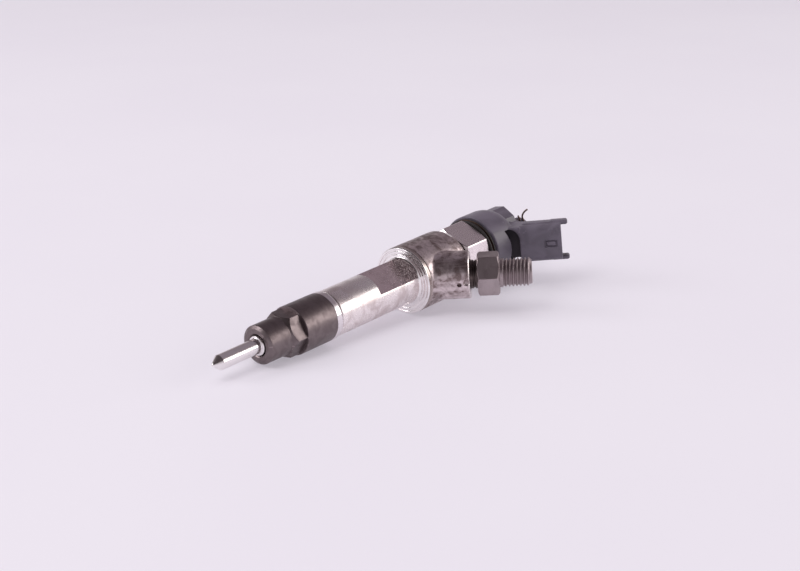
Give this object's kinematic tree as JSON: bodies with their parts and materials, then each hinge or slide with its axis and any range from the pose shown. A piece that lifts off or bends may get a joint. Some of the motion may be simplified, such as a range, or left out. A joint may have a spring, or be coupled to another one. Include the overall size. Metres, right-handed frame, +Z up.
{
  "type": "fuel injector",
  "caption": "Common-rail diesel injector with slim nozzle, hexagon nuts, angled high-pressure inlet fitting, plastic electrical connector and rear return port.",
  "frame": {"origin": "on the surface that the injector lies on, under the centre of its bounding box", "axes": "+X along the injector from the nozzle to the return port, level with the ground; +Z up; the inlet and the connector leave towards -Y"},
  "size_m": [0.2194, 0.0674, 0.038],
  "materials": {
    "ground_steel": "ground and lapped steel with fine turning lines",
    "hardened_steel": "hardened, ground steel",
    "spring_steel": "oil-tempered spring wire",
    "phosphated_steel": "dark brownish grey phosphated steel, satin",
    "nickel_steel": "bright plated forging with a faint brown tint",
    "solenoid_nut_steel": "bright plated hexagon nut",
    "inlet_steel": "dark grey phosphated steel",
    "soft_iron": "sintered soft magnetic iron",
    "copper": "copper and copper alloy",
    "natural_plastic": "unfilled moulded plastic",
    "black_plastic": "glass-filled moulded plastic, fine satin grain",
    "tinned_terminal": "tinned copper alloy strip",
    "black_rubber": "fluoroelastomer",
    "dark_ring": "dark sealing ring",
    "bronzed_wire": "browned spring wire"
  },
  "bodies": {
    "housing": {"nozzle_body": "ground_steel", "distance_plate": "hardened_steel", "dowel_pin_1": "hardened_steel", "dowel_pin_2": "hardened_steel", "nozzle_retaining_nut": "phosphated_steel", "nozzle_spring": "spring_steel", "spring_shim": "hardened_steel", "injector_body": "nickel_steel", "valve_body": "hardened_steel", "valve_seal_ring": "copper", "valve_backup_ring": "natural_plastic", "valve_clamp_nut": "phosphated_steel", "armature_guide": "hardened_steel", "armature_spring": "spring_steel", "solenoid_o_ring": "black_rubber", "lift_shim": "hardened_steel", "magnet_core": "soft_iron", "coil_bobbin": "natural_plastic", "coil_winding": "copper", "valve_spring": "spring_steel", "valve_spring_shim": "hardened_steel", "solenoid_back_plate": "soft_iron", "solenoid_sleeve": "ground_steel", "solenoid_retaining_nut": "solenoid_nut_steel", "solenoid_dust_ring": "dark_ring", "connector_housing": "black_plastic", "terminal_1": "tinned_terminal", "terminal_2": "tinned_terminal", "return_port": "black_plastic", "return_port_o_ring": "black_rubber", "return_clip": "bronzed_wire", "inlet_fitting": "inlet_steel", "inlet_seal_washer": "copper", "edge_filter": "hardened_steel"},
    "needle": {"nozzle_needle": "hardened_steel", "spring_seat": "hardened_steel"},
    "piston": {"control_piston": "hardened_steel"},
    "armature": {"armature_pin": "hardened_steel", "armature_plate": "soft_iron", "ball_guide": "hardened_steel", "valve_ball": "hardened_steel"}
  },
  "joints": [
    {"name": "needle_lift", "type": "slide", "parent": "housing", "child": "needle", "axis": [0.9979, 0, 0.0644], "range_m": [0, 0.00025], "stiffness_N_per_m": 4000, "springref_m": -0.008},
    {"name": "piston_lift", "type": "slide", "parent": "housing", "child": "piston", "axis": [0.9979, 0, 0.0644], "range_m": [0, 0.00025]},
    {"name": "armature_lift", "type": "slide", "parent": "housing", "child": "armature", "axis": [0.9979, 0, 0.0644], "range_m": [0, 0.00006], "stiffness_N_per_m": 2000, "springref_m": -0.01}
  ],
  "couplings": [
    {"joint": "piston_lift", "follows": "needle_lift", "ratio": 1}
  ]
}
